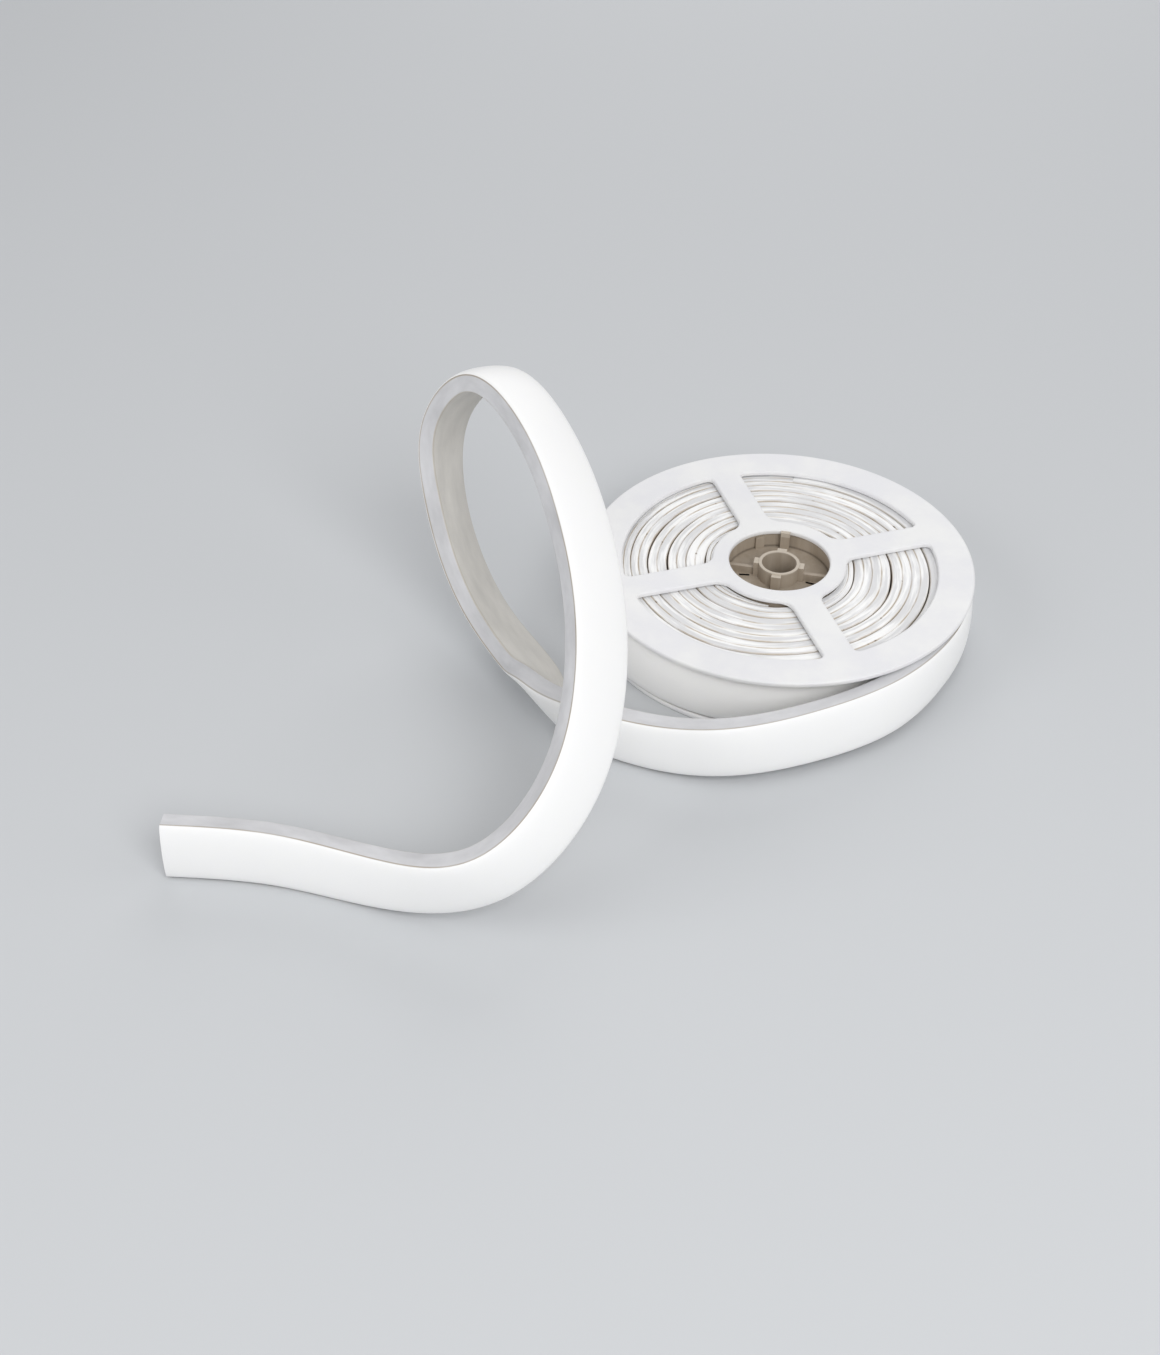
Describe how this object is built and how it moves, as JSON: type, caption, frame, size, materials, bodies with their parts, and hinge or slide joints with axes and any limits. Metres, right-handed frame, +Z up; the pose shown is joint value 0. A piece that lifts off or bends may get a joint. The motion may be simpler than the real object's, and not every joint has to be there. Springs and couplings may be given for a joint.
{
  "type": "led strip light",
  "caption": "Flat silicone LED strip light wound on a white plastic reel with a windowed flange, its outer end drawn off in a standing loop.",
  "frame": {"origin": "on the floor, under the middle of the whole object's box", "axes": "+Z up, along the reel's axis; +X along the longest extent, from the strip's cut end towards the reel; +Y away from the picture's camera"},
  "size_m": [0.2902, 0.2468, 0.1113],
  "materials": {
    "reel_white": "satin moulded plastic",
    "hub_taupe": "satin moulded plastic",
    "strip_milky": "milky satin silicone"
  },
  "bodies": {
    "root": {"top_flange": "reel_white", "bottom_flange": "reel_white", "hub": "hub_taupe", "wound_strip": "strip_milky", "free_strip": "strip_milky"}
  },
  "joints": []
}
